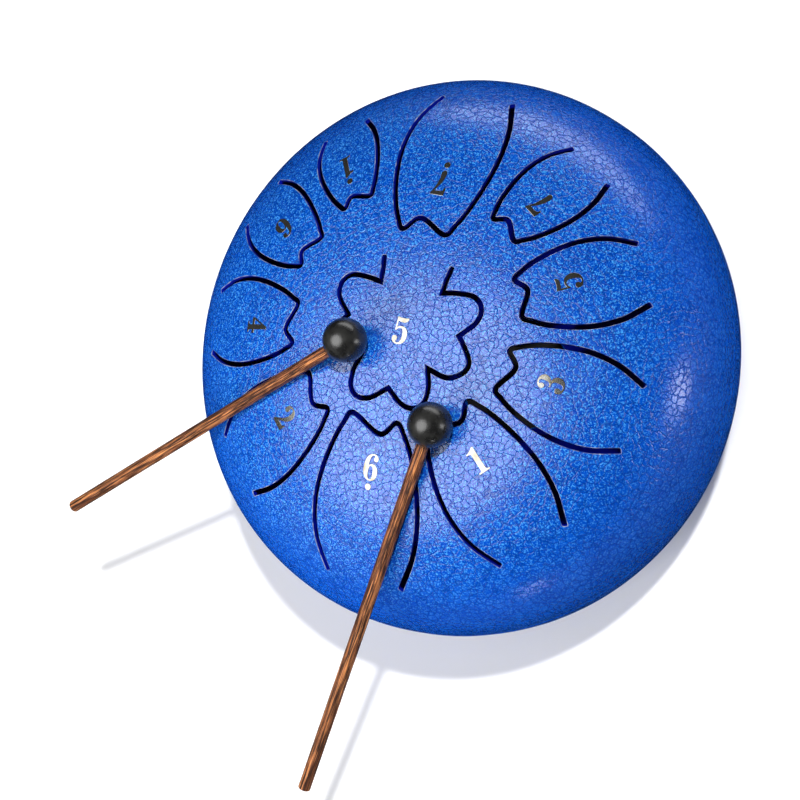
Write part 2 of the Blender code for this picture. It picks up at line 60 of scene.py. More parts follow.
# --- drum body ---
weld_low, weld_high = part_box("equator_weld")
CENTRE = (weld_low + weld_high) / 2  # drum axis at the equator
DRUM_RADIUS = (weld_high.x - weld_low.x) / 2
DOME_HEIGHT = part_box("tongue_low_5")[1].z - CENTRE.z
BASE_DEPTH = 40.5 * MM
SHELL_POWER = 2.53
WALL = 1.2 * MM
WELD_WIDTH = 1.6 * MM
WELD_RISE = 0.12 * MM
PORT_RADIUS = 18.0 * MM
AROUND = 192  # points round the drum
FIELD_SHARE = 0.95  # of the drum's radius, under the note field
FIELD_STEP = 2.2 * MM  # distance between its points
RIM_RINGS = 14
BASE_RINGS = 30
LIP_POINTS = 7  # round the sound port's lip
WELD_POINTS = 9  # across the weld's bead
SHARP_ANGLE = radians(40)
TINY = 1e-9
# Material slots of the shells, tongues and marks
OUTSIDE = 0
INSIDE = 1
EDGE = 2

# --- slits ---
SLIT = 1.4 * MM
LINE_STEPS = 24
EDGE_STEP = 0.55 * MM
CORNER_ANGLE = radians(32)
CDT_TOLERANCE = 1e-7
MITRE_LIMIT = 0.5
LOOP_SHARE = 0.985  # of a side's distance: nearer is a loop
LOOP_REACH = 60  # points looked through for a crossing
END_ROUNDING = 0.35 * MM
CLEAR_OF_EDGE = 0.75 * MM
# (distance from the slit's wall, depth) of each row of points down the slit
SLIT_ROWS = ((0.15 * MM, 0.0), (0.04 * MM, 0.04 * MM), (0.0, 0.15 * MM), (0.0, WALL))
# name, digit, octave dot, azimuth in degrees, tip radius, root radius and half
# width in millimetres, sideways lean of the tip as a share of the half width
RING_NOTES = (
    ("low_6", 6, -1, -90.0, 23.8, 67.2, 15.7, -0.10),
    ("low_7", 7, -1, 92.5, 27.7, 68.6, 14.6, 0.02),
    ("1", 1, 0, -45.3, 26.3, 65.2, 14.3, 0.04),
    ("2", 2, 0, -134.9, 28.9, 64.6, 13.2, 0.00),
    ("3", 3, 0, -7.0, 30.8, 64.8, 12.3, 0.01),
    ("4", 4, 0, 186.9, 33.2, 65.3, 12.3, 0.00),
    ("5", 5, 0, 27.2, 33.5, 65.0, 11.6, 0.03),
    ("6", 6, 0, 154.9, 38.0, 66.6, 10.8, -0.03),
    ("7", 7, 0, 57.2, 38.5, 65.7, 10.0, 0.05),
    ("high_1", 1, 1, 126.7, 40.5, 66.4, 9.5, 0.02),
)
# One side of a tongue, from its root: (share of the way from tip to root,
# share of the half width), and the notch in the middle of its tip
TONGUE_SIDE = (
    (1.00, 0.72), (0.80, 0.94), (0.60, 1.00), (0.40, 0.93),
    (0.20, 0.765), (0.07, 0.59), (0.00, 0.42),
)
TONGUE_NOTCH = (0.09, 0.12)
LEAN_POWER = 4
CENTRE_NOTE = "low_5"
CENTRE_AZIMUTH = 91.4
# One side of the flower: (degrees from its root's middle, radius in millimetres)
FLOWER_SIDE = (
    (27.5, 22.2), (31.0, 18.6), (37.0, 15.4), (46.0, 18.6), (55.0, 22.4),
    (64.0, 23.4), (73.0, 21.6), (83.5, 16.8), (92.0, 18.9), (102.0, 21.6),
    (111.0, 21.3), (121.0, 18.4), (129.0, 12.9), (138.0, 17.0), (147.0, 20.3),
    (156.0, 21.0), (166.0, 19.3),
)
FLOWER_TIP = (180.0, 15.3)
FLOWER_CUSPS = (37.0, 83.5, 129.0, 180.0)

# --- number marks ---
DIGIT_HEIGHT = 7.3 * MM
DOT_RADIUS = 0.85 * MM
DOT_SPACE = 1.7 * MM
DOT_SEGMENTS = 32
GLYPH_STEPS = 8
MARK_STEP = 0.5 * MM
MARK_CLEAR = 0.14 * MM
# (distance outwards, depth) of each row of points down a mark's edge. Above
# the enamel the depth is below zero.
MARK_ROWS = ((0.0, -0.10 * MM), (0.05 * MM, -0.07 * MM), (0.05 * MM, 0.03 * MM))
CENTRE_DIGIT = 5
# note: azimuth in degrees and radius in millimetres
MARK_PLACES = {
    "low_6": (-89.8, 36.8), "low_7": (91.5, 41.9), "1": (-44.0, 40.4),
    "2": (-135.0, 41.7), "3": (-5.6, 43.9), "4": (188.2, 46.6),
    "5": (28.8, 47.1), "6": (155.0, 51.3), "7": (56.3, 50.0),
    "high_1": (127.6, 52.8), "low_5": (-90.0, -0.3),
}
# Bold serif numerals, 100 units high. A pair is a straight line's end, and a
# six is a cubic curve's two handles and its end.
GLYPHS = {
    1: [(
        (10, 0), (56, 0), (56, 5), (46, 5, 43, 7, 43, 14), (43, 100), (37, 100),
        (30, 93, 20, 88, 7, 86), (7, 81), (16, 82, 23, 80, 23, 74), (23, 14),
        (23, 7, 20, 5, 10, 5),
    )],
    2: [(
        (4, 0), (56, 0), (60, 28), (55, 28), (53, 19, 50, 18, 42, 18), (22, 18),
        (34, 30, 58, 47, 58, 71), (58, 88, 46, 100, 30, 100), (14, 100, 4, 90, 4, 77),
        (4, 70, 8, 66, 14, 66), (20, 66, 24, 70, 24, 76), (24, 81, 20, 83, 20, 87),
        (20, 92, 25, 95, 29, 95), (36, 95, 39, 86, 39, 71), (39, 47, 20, 25, 4, 10),
    )],
    3: [(
        (30, 100), (15, 100, 6, 92, 6, 82), (6, 76, 9, 72, 15, 72), (20, 72, 24, 75, 24, 81),
        (24, 85, 21, 87, 21, 91), (21, 94, 24, 95, 28, 95), (35, 95, 37, 89, 37, 76),
        (37, 62, 33, 55, 23, 55), (18, 55), (18, 50), (24, 50), (35, 50, 41, 43, 41, 28),
        (41, 14, 37, 5, 28, 5), (23, 5, 19, 6, 19, 10), (19, 14, 23, 16, 23, 21),
        (23, 27, 19, 31, 13, 31), (7, 31, 3, 27, 3, 20), (3, 8, 13, 0, 29, 0),
        (47, 0, 60, 10, 60, 27), (60, 41, 52, 50, 38, 53), (48, 56, 56, 64, 56, 76),
        (56, 90, 46, 100, 30, 100),
    )],
    4: [(
        (38, 100), (2, 35), (2, 25), (29, 25), (29, 14), (29, 7, 26, 5, 17, 5), (17, 0),
        (57, 0), (57, 5), (50, 5, 47, 7, 47, 14), (47, 25), (61, 25), (61, 36), (47, 36),
        (47, 100),
    ), (
        (9, 36), (29, 36), (29, 74),
    )],
    5: [(
        (8, 100), (8, 50), (12, 50), (16, 57, 21, 60, 28, 60), (37, 60, 41, 51, 41, 34),
        (41, 17, 37, 5, 27, 5), (22, 5, 19, 6, 19, 10), (19, 13, 23, 15, 23, 20),
        (23, 26, 19, 30, 13, 30), (7, 30, 3, 26, 3, 19), (3, 8, 13, 0, 28, 0),
        (46, 0, 60, 12, 60, 34), (60, 53, 50, 67, 33, 67), (25, 67, 18, 65, 13, 60), (13, 85),
        (19, 83, 26, 82, 34, 82), (46, 82, 54, 88, 54, 100), (40, 96, 20, 96, 8, 100),
    )],
    6: [(
        (36, 100), (15, 100, 2, 77, 2, 45), (2, 17, 13, 0, 32, 0), (49, 0, 60, 12, 60, 31),
        (60, 50, 50, 62, 36, 62), (29, 62, 24, 59, 21, 55), (22, 80, 27, 95, 37, 95),
        (41, 95, 42, 93, 42, 90), (42, 87, 39, 85, 39, 81), (39, 76, 43, 73, 48, 73),
        (54, 73, 57, 77, 57, 82), (57, 92, 48, 100, 36, 100),
    ), (
        (32, 5), (39, 5, 41, 14, 41, 31), (41, 46, 38, 55, 31, 55), (25, 55, 21, 45, 21, 31),
        (21, 14, 24, 5, 32, 5),
    )],
    7: [(
        (7, 100), (5, 70), (10, 70), (12, 80, 16, 84, 26, 84), (48, 84),
        (32, 60, 20, 40, 20, 12), (20, 4, 24, 0, 30, 0), (37, 0, 40, 5, 40, 13),
        (40, 45, 46, 70, 60, 94), (60, 100),
    )],
}
GLYPH_HEIGHT = 100
GLYPH_MIDDLE = np.array((31, 50))
GLYPH_CLOSED = 0.01  # an end this near its start is dropped

# --- feet ---
FOOT_CIRCLE = 42.0 * MM
FOOT_RADIUS = 6.5 * MM
FOOT_AZIMUTHS = {"front": -90.0, "right": 30.0, "left": 150.0}
FOOT_BEVEL = 0.8 * MM
FOOT_SEGMENTS = 64
BEVEL_SHARE = 0.35  # of a piece's height at most
BEVEL_POINTS = 5
ADHESIVE = 0.8 * MM

# --- mallets ---
BALL_RADIUS = 6.0 * MM
STICK_RADIUS = 1.75 * MM
STICK_REACH = 115.0 * MM
BORE_DEPTH = 4.0 * MM  # past the ball's centre
BORE_GAP = 0.3 * MM  # under the stick's end
BORE_PLAY = BORE_GAP / 4  # round the stick
BORE_LIP = 0.35 * MM
LIP_DROP = 0.8  # of the lip's width
STICK_CHAMFER = 0.22 * MM
CHAMFER_STEPS = 4
MALLET_GAP = 0.4 * MM
BALL_SEGMENTS = 96
BALL_POINTS = 40
STICK_SEGMENTS = 48
STICK_POINTS = 40
WOOD = 0  # the stick's material slots
END_GRAIN = 1
# name, ball centre's x and y from the drum's axis in millimetres, heading and
# droop in degrees
MALLETS = (
    ("left", -12.3, -5.8, -144.2, 15.0),
    ("right", 17.4, -22.2, -103.9, 17.9),
)


# --- shell surface ---
def profile_height(radius, height):
    share = np.clip(np.asarray(radius, float) / DRUM_RADIUS, 0, 1)
    return height * (1 - share ** SHELL_POWER) ** (1 / SHELL_POWER)


def profile_normal(radius, height):
    """Outward and upward parts of the unit normal of a shell's outer face."""
    share = np.clip(np.asarray(radius, float) / DRUM_RADIUS, 0, 1)
    outward = share ** (SHELL_POWER - 1) / DRUM_RADIUS
    upward = (profile_height(radius, height) / height) ** (SHELL_POWER - 1) / height
    length = np.hypot(outward, upward)
    return outward / length, upward / length


def dome_normals(plan):
    radius = np.hypot(plan[:, 0], plan[:, 1])
    outward, upward = profile_normal(radius, DOME_HEIGHT)
    direction = plan / np.maximum(radius, TINY)[:, None]
    return np.column_stack((direction * outward[:, None], upward))


def dome_points(plan, depth):
    """Points below these plan points, depth under the dome's outer face."""
    radius = np.hypot(plan[:, 0], plan[:, 1])
    surface = np.column_stack((plan, profile_height(radius, DOME_HEIGHT)))
    return surface - dome_normals(plan) * depth


# --- plan outlines ---
def circle(count, start=0.0):
    """Points round the unit circle, the first turned by this share of a step."""
    turn = 2 * pi * (np.arange(count) + start) / count
    return np.column_stack((np.cos(turn), np.sin(turn)))


def unit(vectors):
    return vectors / np.maximum(np.linalg.norm(vectors, axis=1), TINY)[:, None]


def turned(points, azimuth):
    """(radial, sideways) points as (x, y)."""
    c = cos(radians(azimuth))
    s = sin(radians(azimuth))
    return points @ np.array(((c, s), (-s, c)))


def smooth_through(points, corners=()):
    """Catmull-Rom curve through an open run of points, sharp at its corners."""
    stops = [0, *corners, len(points) - 1]
    t = (np.arange(LINE_STEPS) / LINE_STEPS)[:, None]
    parts = []
    for first, last in zip(stops, stops[1:]):
        span = points[first:last + 1]
        run = np.vstack((span[0] * 2 - span[1], span, span[-1] * 2 - span[-2]))
        for a, b, c, d in zip(run, run[1:], run[2:], run[3:]):
            square = (a * 2 - b * 5 + c * 4 - d) * t ** 2
            cube = (b * 3 - a - c * 3 + d) * t ** 3
            parts.append((b * 2 + (c - a) * t + square + cube) / 2)
    return np.vstack(parts + [points[-1:]])


def distance_to(line, points):
    """Distance of each point from an open line."""
    start = line[:-1]
    run = line[1:] - start
    offset = points[:, None] - start
    share = (offset * run).sum(2) / np.maximum((run * run).sum(1), TINY ** 2)
    away = offset - run * np.clip(share, 0, 1)[..., None]
    return np.sqrt((away ** 2).sum(2)).min(1)


def left_sides(line):
    along = unit(np.diff(line, axis=0))
    return np.column_stack((-along[:, 1], along[:, 0]))


def uncrossed(line):
    """The open line with each small loop cut off where it crosses itself."""
    i = 0
    while i < len(line) - 3:
        start = line[i]
        run = line[i + 1] - start
        others = line[i + 2:i + 2 + LOOP_REACH]
        if len(others) < 2:
            break
        steps = np.diff(others, axis=0)
        offsets = others[:-1] - start
        across = run[0] * steps[:, 1] - run[1] * steps[:, 0]
        across = np.where(abs(across) < TINY ** 2, TINY ** 2, across)
        here = (offsets[:, 0] * steps[:, 1] - offsets[:, 1] * steps[:, 0]) / across
        there = (offsets[:, 0] * run[1] - offsets[:, 1] * run[0]) / across
        hits = np.nonzero((here >= 0) & (here <= 1) & (there >= 0) & (there <= 1))[0]
        if len(hits):
            crossing = start + run * here[hits[-1]]
            line = np.vstack((line[:i + 1], crossing[None], line[i + 3 + hits[-1]:]))
        i += 1
    return line


def shifted_sideways(line, distance):
    """The open line moved to its left, mitred, without the loops that this
    makes inside a tight bend."""
    sides = left_sides(line)
    before = np.vstack((sides[:1], sides))
    after = np.vstack((sides, sides[-1:]))
    bisector = unit(before + after)
    reach = distance / np.maximum((bisector * after).sum(1), MITRE_LIMIT)
    moved = line + bisector * reach[:, None]
    return uncrossed(moved[distance_to(line, moved) > abs(distance) * LOOP_SHARE])


def resampled(line, step):
    """The line in even steps, its corners kept."""
    along = unit(np.diff(line, axis=0))
    turn = np.arccos(np.clip((along[:-1] * along[1:]).sum(1), -1, 1))
    corners = [0, *(np.nonzero(turn > CORNER_ANGLE)[0] + 1), len(line) - 1]
    parts = []
    for first, last in zip(corners, corners[1:]):
        span = line[first:last + 1]
        reach = np.append(0, np.cumsum(np.linalg.norm(np.diff(span, axis=0), axis=1)))
        count = max(1, ceil(reach[-1] / step))
        stops = np.linspace(0, reach[-1], count + 1)[:-1]
        parts.append(np.column_stack([np.interp(stops, reach, axis) for axis in span.T]))
    return np.vstack(parts + [line[-1:]])


def slit_end(line):
    """Points across the end of a slit, from its left side to its right."""
    along = unit(line[-1:] - line[-2:-1])[0]
    left = np.array((-along[1], along[0]))
    half = SLIT / 2
    inset = END_ROUNDING * (1 - sqrt(0.5))
    spots = (
        (half, END_ROUNDING), (half - inset, inset), (half - END_ROUNDING, 0),
        (0, 0), (END_ROUNDING - half, 0), (inset - half, inset), (-half, END_ROUNDING),
    )
    return np.array([line[-1] + left * side - along * back for side, back in spots])


def trimmed(side, line):
    """A slit's side without the stretch that its rounded ends take up."""
    for end, inner in ((line[0], line[1]), (line[-1], line[-2])):
        direction = unit((inner - end)[None])[0]
        near = np.linalg.norm(side - end, axis=1) < SLIT
        side = side[~near | ((side - end) @ direction > END_ROUNDING + EDGE_STEP / 4)]
    return side


def slit_outline(line):
    """Closed outline of a slit and the places in it of its two root corners."""
    left = resampled(trimmed(shifted_sideways(line, SLIT / 2), line), EDGE_STEP)
    right = resampled(trimmed(shifted_sideways(line, -SLIT / 2), line), EDGE_STEP)
    far_end = slit_end(line)
    near_end = slit_end(line[::-1])
    corner = len(far_end) // 2 + 1
    outline = np.vstack((left, far_end, right[::-1], near_end))
    far_corner = len(left) + corner
    near_corner = len(outline) - 1 - corner
    return outline, far_corner, near_corner


def outward_reach(outline):
    """Mitred sideways step of each point of a clockwise closed outline."""
    sides = left_sides(np.vstack((outline, outline[:1])))
    before = np.roll(sides, 1, axis=0)
    bisector = unit(before + sides)
    return bisector / np.maximum((bisector * sides).sum(1), MITRE_LIMIT)[:, None]


def ring_line(tip, root, half_width, lean):
    side = np.array(TONGUE_SIDE)
    right = side * (1, -1)
    shares = np.vstack((right, [TONGUE_NOTCH], side[::-1]))
    along = tip + shares[:, 0] * (root - tip)
    sideways = (shares[:, 1] + lean * (1 - shares[:, 0]) ** LEAN_POWER) * half_width
    return smooth_through(np.column_stack((along, sideways)) * MM)


def flower_line():
    side = np.array(FLOWER_SIDE)
    polar = np.vstack((side * (-1, 1), [FLOWER_TIP], side[::-1]))
    corners = np.nonzero(np.isin(abs(polar[:, 0]), FLOWER_CUSPS))[0]
    turn = np.radians(polar[:, 0])
    points = np.column_stack((np.cos(turn), np.sin(turn))) * polar[:, 1:] * MM
    return smooth_through(points, corners)


def note_lines():
    """Name, azimuth, root radius and slit centre line of every note."""
    lines = [
        (name, azimuth, root * MM, ring_line(tip, root, half_width, lean))
        for name, _, _, azimuth, tip, root, half_width, lean in RING_NOTES
    ]
    flower = flower_line()
    return lines + [(CENTRE_NOTE, CENTRE_AZIMUTH, flower[0, 0], flower)]


# --- filling outlines with triangles ---
def inside(outline, points):
    """Which points lie in a closed outline."""
    found = np.zeros(len(points), bool)
    for (ax, ay), (bx, by) in zip(outline, np.roll(outline, -1, axis=0)):
        if ay == by:
            continue
        crosses = (points[:, 1] < ay) != (points[:, 1] < by)
        found ^= crosses & (points[:, 0] < ax + (points[:, 1] - ay) * (bx - ax) / (by - ay))
    return found


def ring_edges(first, count):
    return [(first + i, first + (i + 1) % count) for i in range(count)]


def triangulated(points, edges):
    """Triangles over these points that keep the edges. The points stay as
    they are, in their order."""
    scaled = [Vector(point) for point in points / MM]
    made = geometry.delaunay_2d_cdt(scaled, edges, [], 0, CDT_TOLERANCE)
    names = [origin[0] if origin else -1 for origin in made[3]]
    faces = np.array([[names[v] for v in face] for face in made[2]])
    return faces[(faces >= 0).all(1)]


def boundary_edges(faces):
    """Directed edges that only one of the triangles has."""
    edges = {(a, b) for face in faces for a, b in zip(face, np.roll(face, -1))}
    return [edge for edge in edges if edge[::-1] not in edges]


# --- mesh making ---
class Shape:
    """Faces being gathered, with each face's material slot and corner normals.
    Its points are given about the drum's centre."""

    def __init__(self):
        self.points = np.zeros((0, 3))
        self.faces = []
        self.slots = []
        self.normals = []

    def add_points(self, points):
        """Add the points and give the first one's place."""
        first = len(self.points)
        self.points = np.vstack((self.points, points))
        return first

    def add_faces(self, faces, slot, normals=None):
        """Add the faces. Blender finds their normals when none are given."""
        for face in faces:
            face = [int(v) for v in face]
            self.faces.append(face)
            self.slots.append(slot)
            known = [(0, 0, 0)] * len(face) if normals is None else normals[face]
            self.normals.append(known)

    def mesh(self, name):
        """Mesh of the faces and of the points that they use."""
        used = np.unique(np.concatenate(self.faces))
        places = np.full(len(self.points), -1)
        places[used] = np.arange(len(used))
        points = self.points[used] + np.array(CENTRE)
        mesh = bpy.data.meshes.new(name)
        mesh.from_pydata(points.tolist(), [], [places[face].tolist() for face in self.faces])
        mesh.update()
        return mesh

    def piece(self, name, materials):
        mesh = self.mesh(name)
        for material in materials:
            mesh.materials.append(material)
        mesh.polygons.foreach_set("material_index", np.array(self.slots, np.int32))
        mesh.shade_smooth()
        mesh.set_sharp_from_angle(angle=SHARP_ANGLE)
        mesh.normals_split_custom_set([tuple(n) for face in self.normals for n in face])
        obj = bpy.data.objects.new(name, mesh)
        bpy.context.scene.collection.objects.link(obj)
        return obj


def between_rings(upper, lower, segments=AROUND):
    """Faces between two rings, facing out when upper lies above lower. A ring
    is its first point's place and its number of points, 1 on the axis."""
    faces = []
    for i in range(segments):
        n = (i + 1) % segments
        corners = (
            upper[0] + i % upper[1], lower[0] + i % lower[1],
            lower[0] + n % lower[1], upper[0] + n % upper[1],
        )
        faces.append(list(dict.fromkeys(corners)))
    return faces


def plate(plan, faces, rows, sideways, rim=()):
    """Solid that follows the dome. Its outer face has these triangles, and
    rows of points go down its edges. A row is its points' distance along their
    sideways steps, and their depth; the plan is the first row's. The rim's
    edges stay open."""
    shape = Shape()
    start = rows[0][0]
    firsts = [
        shape.add_points(dome_points(plan + sideways * (reach - start), depth))
        for reach, depth in rows
    ]
    shape.add_faces(faces, OUTSIDE, dome_normals(plan))
    shape.add_faces(faces[:, ::-1] + firsts[-1], INSIDE)
    slots = [EDGE] * (len(rows) - 2) + [INSIDE]
    for a, b in boundary_edges(faces):
        if a in rim and b in rim:
            continue
        for high, low, slot in zip(firsts, firsts[1:], slots):
            shape.add_faces([(b + high, a + high, a + low, b + low)], slot)
    return shape


# --- the drum's upper shell ---
def field_points(outline_points):
    """Points over the note field, clear of every outline point."""
    points = [np.zeros((1, 2))]
    radius = DRUM_RADIUS * FIELD_SHARE
    rings = ceil(radius / FIELD_STEP)
    for i in range(1, rings):
        reach = radius * i / rings
        points.append(circle(ceil(2 * pi * reach / FIELD_STEP), i % 2 / 2) * reach)
    points = np.vstack(points)
    nearest = np.array([
        np.sqrt(((outline_points - point) ** 2).sum(1)).min() for point in points
    ])
    return points[nearest > CLEAR_OF_EDGE]


def slit_blocks():
    """The slits' outlines and the chords across the tongues' roots as blocks of
    points, each block's sideways steps, the edges to keep, and the closed
    outlines of each note's slit and tongue."""
    blocks = []
    steps = []
    edges = []
    outlines = []
    first = 0
    for _, azimuth, _, line in note_lines():
        outline, far, near = slit_outline(line)
        step = outward_reach(outline)
        outline = turned(outline + step * SLIT_ROWS[0][0], azimuth)
        pieces = ceil(np.linalg.norm(outline[far] - outline[near]) / FIELD_STEP)
        chord = np.linspace(outline[far], outline[near], pieces + 1)[1:-1]
        count = len(outline)
        chain = [first + far, *range(first + count, first + count + len(chord)), first + near]
        edges += ring_edges(first, count) + list(zip(chain, chain[1:]))
        outlines.append((outline, np.vstack((outline[far:near + 1], chord[::-1]))))
        blocks += [outline, chord]
        steps += [turned(step, azimuth), np.zeros_like(chord)]
        first += count + len(chord)
    return blocks, steps, edges, outlines


def note_field():
    """Plan points, triangles, sideways steps of the outline points, the
    triangles' owners (-1 a slit, 0 the shell, 1 and on the notes), and the
    places of the rim's points."""
    blocks, steps, edges, outlines = slit_blocks()
    first = sum(len(block) for block in blocks)
    rim = circle(AROUND) * DRUM_RADIUS * FIELD_SHARE
    edges += ring_edges(first, AROUND)
    inner = field_points(np.vstack(blocks))
    plan = np.vstack(blocks + [rim, inner])
    steps = np.vstack(steps + [np.zeros_like(rim), np.zeros_like(inner)])
    faces = triangulated(plan, edges)
    centroids = plan[faces].mean(1)
    owners = np.zeros(len(faces), int)
    for i, (slit, tongue) in enumerate(outlines):
        owners[inside(tongue, centroids)] = i + 1
        owners[inside(slit, centroids)] = -1
    return plan, faces, steps, owners, range(first, first + AROUND)


def rim_profile(height, start, rings):
    """(radius, z) from a radius down to the weld's edge, and unit normals."""
    first = (start / DRUM_RADIUS) ** SHELL_POWER
    last = 1 - (WELD_WIDTH / 2 / height) ** SHELL_POWER
    turn = np.linspace(np.arcsin(sqrt(first)), np.arcsin(sqrt(last)), rings + 1)
    radius = DRUM_RADIUS * np.sin(turn) ** (2 / SHELL_POWER)
    level = height * np.cos(turn) ** (2 / SHELL_POWER)
    return np.column_stack((radius, level)), np.column_stack(profile_normal(radius, height))


def around(profile):
    """Ring by ring points of a turned (radius, z) profile."""
    return np.array([(r * x, r * y, z) for r, z in profile for x, y in circle(AROUND)])


def wall_rings(first, below):
    """The note field's last ring, and the rings of the wall under it."""
    return [(first, AROUND)] + [(below + i * AROUND, AROUND) for i in range(RIM_RINGS)]


def add_rim(shape, plan_count, rim_first):
    """The shell's wall from the note field down to the weld."""
    profile, normals = rim_profile(DOME_HEIGHT, DRUM_RADIUS * FIELD_SHARE, RIM_RINGS)
    inner = profile - normals * WALL
    outer_first = shape.add_points(around(profile[1:]))
    inner_first = shape.add_points(around(inner[1:]))
    known = np.zeros((len(shape.points), 3))
    known[rim_first:rim_first + AROUND] = around(normals[:1])
    known[outer_first:inner_first] = around(normals[1:])
    outers = wall_rings(rim_first, outer_first)
    inners = wall_rings(plan_count * (len(SLIT_ROWS) - 1) + rim_first, inner_first)
    for high, low in zip(outers, outers[1:]):
        shape.add_faces(between_rings(high, low), OUTSIDE, known)
    for high, low in zip(inners, inners[1:]):
        shape.add_faces(between_rings(low, high), INSIDE)
    shape.add_faces(between_rings(outers[-1], inners[-1]), INSIDE)


def make_upper_shell(paint, inside_paint, painted_edge_highlight):
    plan, faces, steps, owners, rim = note_field()
    shape = plate(plan, faces[owners == 0], SLIT_ROWS, steps, rim)
    add_rim(shape, len(plan), rim[0])
    shell = shape.piece("upper_shell", (paint, inside_paint, painted_edge_highlight))
    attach(shell, "drum")
    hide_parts("top_shell")
    for i, (name, azimuth, root, _) in enumerate(note_lines()):
        shape = plate(plan, faces[owners == i + 1], SLIT_ROWS, steps)
        tongue = shape.piece(f"sprung_tongue_{name}", (paint, inside_paint, painted_edge_highlight))
        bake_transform(tongue)
        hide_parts(f"tongue_{name}")


# --- turned pieces ---
def turned_shape(profile, segments, closed=False, slots=None):
    """Solid of a (radius, z) profile that runs from its top down its outer
    side. Points on the axis become one."""
    shape = Shape()
    rings = []
    for radius, z in profile:
        count = segments if radius > TINY else 1
        points = np.column_stack((circle(count) * radius, np.full(count, z)))
        rings.append((shape.add_points(points), count))
    lowers = rings[1:] + rings[:1] if closed else rings[1:]
    for i, (upper, lower) in enumerate(zip(rings, lowers)):
        slot = slots[i] if slots else OUTSIDE
        shape.add_faces(between_rings(upper, lower, segments), slot)
    return shape


def rounded(corners, radius):
    """A profile with each middle corner rounded."""
    corners = [np.array(corner, float) for corner in corners]
    points = [corners[0]]
    for before, corner, after in zip(corners, corners[1:], corners[2:]):
        reach = min(radius, *(np.linalg.norm(p - corner) / 2 for p in (before, after)))
        start = corner + unit((before - corner)[None])[0] * reach
        end = corner + unit((after - corner)[None])[0] * reach
        for t in np.linspace(0, 1, CHAMFER_STEPS + 1):
            points.append(start * (1 - t) ** 2 + corner * 2 * t * (1 - t) + end * t * t)
    return points + [corners[-1]]


def make_lower_shell(paint, inside_paint):
    outer, normals = rim_profile(BASE_DEPTH, PORT_RADIUS, BASE_RINGS)
    inner = outer - normals * WALL
    middle = (outer[0] + inner[0]) / 2
    across = (outer[0] - inner[0]) / 2
    inwards = np.array((-across[1], across[0]))
    turns = np.linspace(pi, 0, LIP_POINTS)[1:-1]
    lip = [middle - across * cos(t) + inwards * sin(t) for t in turns]
    profile = np.vstack((outer[::-1], lip, inner)) * (1, -1)
    slots = [OUTSIDE] * (len(outer) + len(lip)) + [INSIDE] * len(inner)
    shape = turned_shape(profile, AROUND, True, slots)
    shell = shape.piece("lower_shell", (paint, inside_paint))
    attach(shell, "drum")
    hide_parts("bottom_shell")


def make_weld(paint, inside_paint):
    half = WELD_WIDTH / 2
    edge = rim_profile(DOME_HEIGHT, DRUM_RADIUS * FIELD_SHARE, 1)[0][-1, 0]
    turns = np.linspace(0, pi, WELD_POINTS)
    crown = [(edge + WELD_RISE * sin(t) ** 2, half * cos(t)) for t in turns]
    profile = crown + [(edge - WALL, -half), (edge - WALL, half)]
    slots = [OUTSIDE] * WELD_POINTS + [INSIDE] * 2
    bead = turned_shape(profile, AROUND, True, slots).piece("weld_bead", (paint, inside_paint))
    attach(bead, "drum")
    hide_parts("equator_weld")


# --- number marks ---
def glyph_outline(path):
    """Points of one closed outline, with each curve cut into short lines."""
    points = [np.array(path[0])]
    for step in path[1:]:
        handles = np.array(step).reshape(-1, 2)
        if len(handles) == 1:
            points.append(handles[0])
            continue
        a = points[-1]
        b, c, d = handles
        for t in np.linspace(0, 1, GLYPH_STEPS + 1)[1:]:
            s = 1 - t
            points.append(a * s ** 3 + b * 3 * s * s * t + c * 3 * s * t * t + d * t ** 3)
    if np.linalg.norm(points[-1] - points[0]) < GLYPH_CLOSED:
        points.pop()
    return (np.array(points) - GLYPH_MIDDLE) * DIGIT_HEIGHT / GLYPH_HEIGHT


def clockwise(outline):
    x, y = outline.T
    area = (x * np.roll(y, -1) - np.roll(x, -1) * y).sum()
    return outline[::-1] if area > 0 else outline


def mark_axes(azimuth, radius, upright):
    """Plan point, and the plan directions of a mark's width and height."""
    outward, upward = profile_normal(abs(radius), DOME_HEIGHT)
    spot = turned(np.array(((radius, 0.0),)), azimuth)[0]
    out = turned(np.array(((outward, 0.0),)), azimuth)[0]
    normal = np.array((*out, upward))
    inward = np.array((0, 1, 0)) if upright else np.array((-spot[0], -spot[1], 0))
    across = np.cross(inward, normal)
    across /= np.linalg.norm(across)
    up = np.cross(normal, across)
    return spot, np.array((across[:2], up[:2]))


def mark_grid(outlines):
    """Points over a mark, clear of its outlines."""
    low = outlines[0].min(0)
    high = outlines[0].max(0)
    across = np.arange(low[0], high[0], MARK_STEP)
    up = np.arange(low[1], high[1], MARK_STEP)
    grid = np.array([(x, y) for x in across for y in up])
    closed = [np.vstack((outline, outline[:1])) for outline in outlines]
    clear = np.min([distance_to(line, grid) for line in closed], axis=0) > MARK_CLEAR
    return grid[clear]


def mark_plan(outlines):
    """Plan points, triangles and sideways steps of a first outline with
    perhaps a second as a hole in it."""
    outlines = [clockwise(outline) for outline in outlines]
    edges = []
    first = 0
    for outline in outlines:
        edges += ring_edges(first, len(outline))
        first += len(outline)
    grid = mark_grid(outlines)
    plan = np.vstack(outlines + [grid])
    steps = [outward_reach(outline) * way for outline, way in zip(outlines, (1, -1))]
    faces = triangulated(plan, edges)
    centroids = plan[faces].mean(1)
    kept = inside(outlines[0], centroids)
    for hole in outlines[1:]:
        kept &= ~inside(hole, centroids)
    return plan, faces[kept], np.vstack(steps + [np.zeros_like(grid)])


def make_mark(name, node, note, outlines, foil):
    """Foil mark laid on the dome."""
    plan, faces, steps = mark_plan(outlines)
    mark = plate(plan, faces, MARK_ROWS, steps).piece(name, (foil, foil, foil))
    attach(mark, f"note_{note}")
    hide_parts(node)


